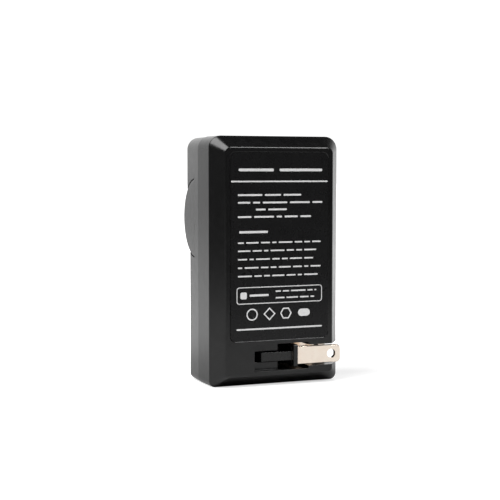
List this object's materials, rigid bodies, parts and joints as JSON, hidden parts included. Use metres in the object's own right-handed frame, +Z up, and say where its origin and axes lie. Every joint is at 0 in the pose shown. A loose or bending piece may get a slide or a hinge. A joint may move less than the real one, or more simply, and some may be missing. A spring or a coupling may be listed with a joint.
{
  "type": "camera battery charger",
  "caption": "Upright two-shell travel charger with a bevelled back, a recessed label, a fold-out two-blade plug in a side-opening well, and a front battery bay between round ears.",
  "frame": {"origin": "middle of the bounding box's bottom face, on the surface that the charger stands on", "axes": "+Z up along the height, +Y from the back face with the plug to the front with the battery bay, +X to the right as seen from behind"},
  "size_m": [0.0492, 0.0333, 0.087],
  "materials": {
    "case_plastic": "fine spark texture, black",
    "plate_plastic": "fine spark texture, black",
    "label_film": "printed film, satin black",
    "carrier_plastic": "smooth moulded black",
    "plated_blade": "nickel plate, finely drawn",
    "pin_brass": "turned",
    "spring_brass": "rolled",
    "gilt_contact": "gilt, bright",
    "clear_plastic": "clear, frosted",
    "board_laminate": "resin laminate",
    "screw_steel": "zinc plated",
    "chip_black": "moulded epoxy",
    "can_aluminium": "sleeved can",
    "ferrite": "sintered, dark grey",
    "winding_copper": "taped winding",
    "glazed_ceramic": "dipped coating"
  },
  "bodies": {
    "housing": {"back_shell": "case_plastic", "front_shell": "case_plastic", "battery_plate": "plate_plastic", "label": "label_film", "plug_keeper": "carrier_plastic", "line_spring": "spring_brass", "neutral_spring": "spring_brass", "positive_contact": "gilt_contact", "sense_contact": "gilt_contact", "negative_contact": "gilt_contact", "light_pipe": "clear_plastic", "charge_led": "clear_plastic", "circuit_board": "board_laminate", "board_screws": "screw_steel", "bridge_rectifier": "chip_black", "switching_transistor": "chip_black", "control_chip": "chip_black", "optocoupler": "chip_black", "output_diode": "chip_black", "mains_capacitor": "can_aluminium", "output_capacitor": "can_aluminium", "transformer_core": "ferrite", "line_choke": "ferrite", "transformer_winding": "winding_copper", "safety_capacitor": "glazed_ceramic", "fuse_resistor": "glazed_ceramic"},
    "plug": {"plug_carrier": "carrier_plastic", "line_blade": "plated_blade", "neutral_blade": "plated_blade", "upper_pivot_pin": "pin_brass", "lower_pivot_pin": "pin_brass"}
  },
  "joints": [
    {"name": "plug_fold", "type": "hinge", "parent": "housing", "child": "plug", "pos_m": [0, -0.00877, 0.0101], "axis": [0, 0, -1], "range_deg": [0, 90]}
  ]
}
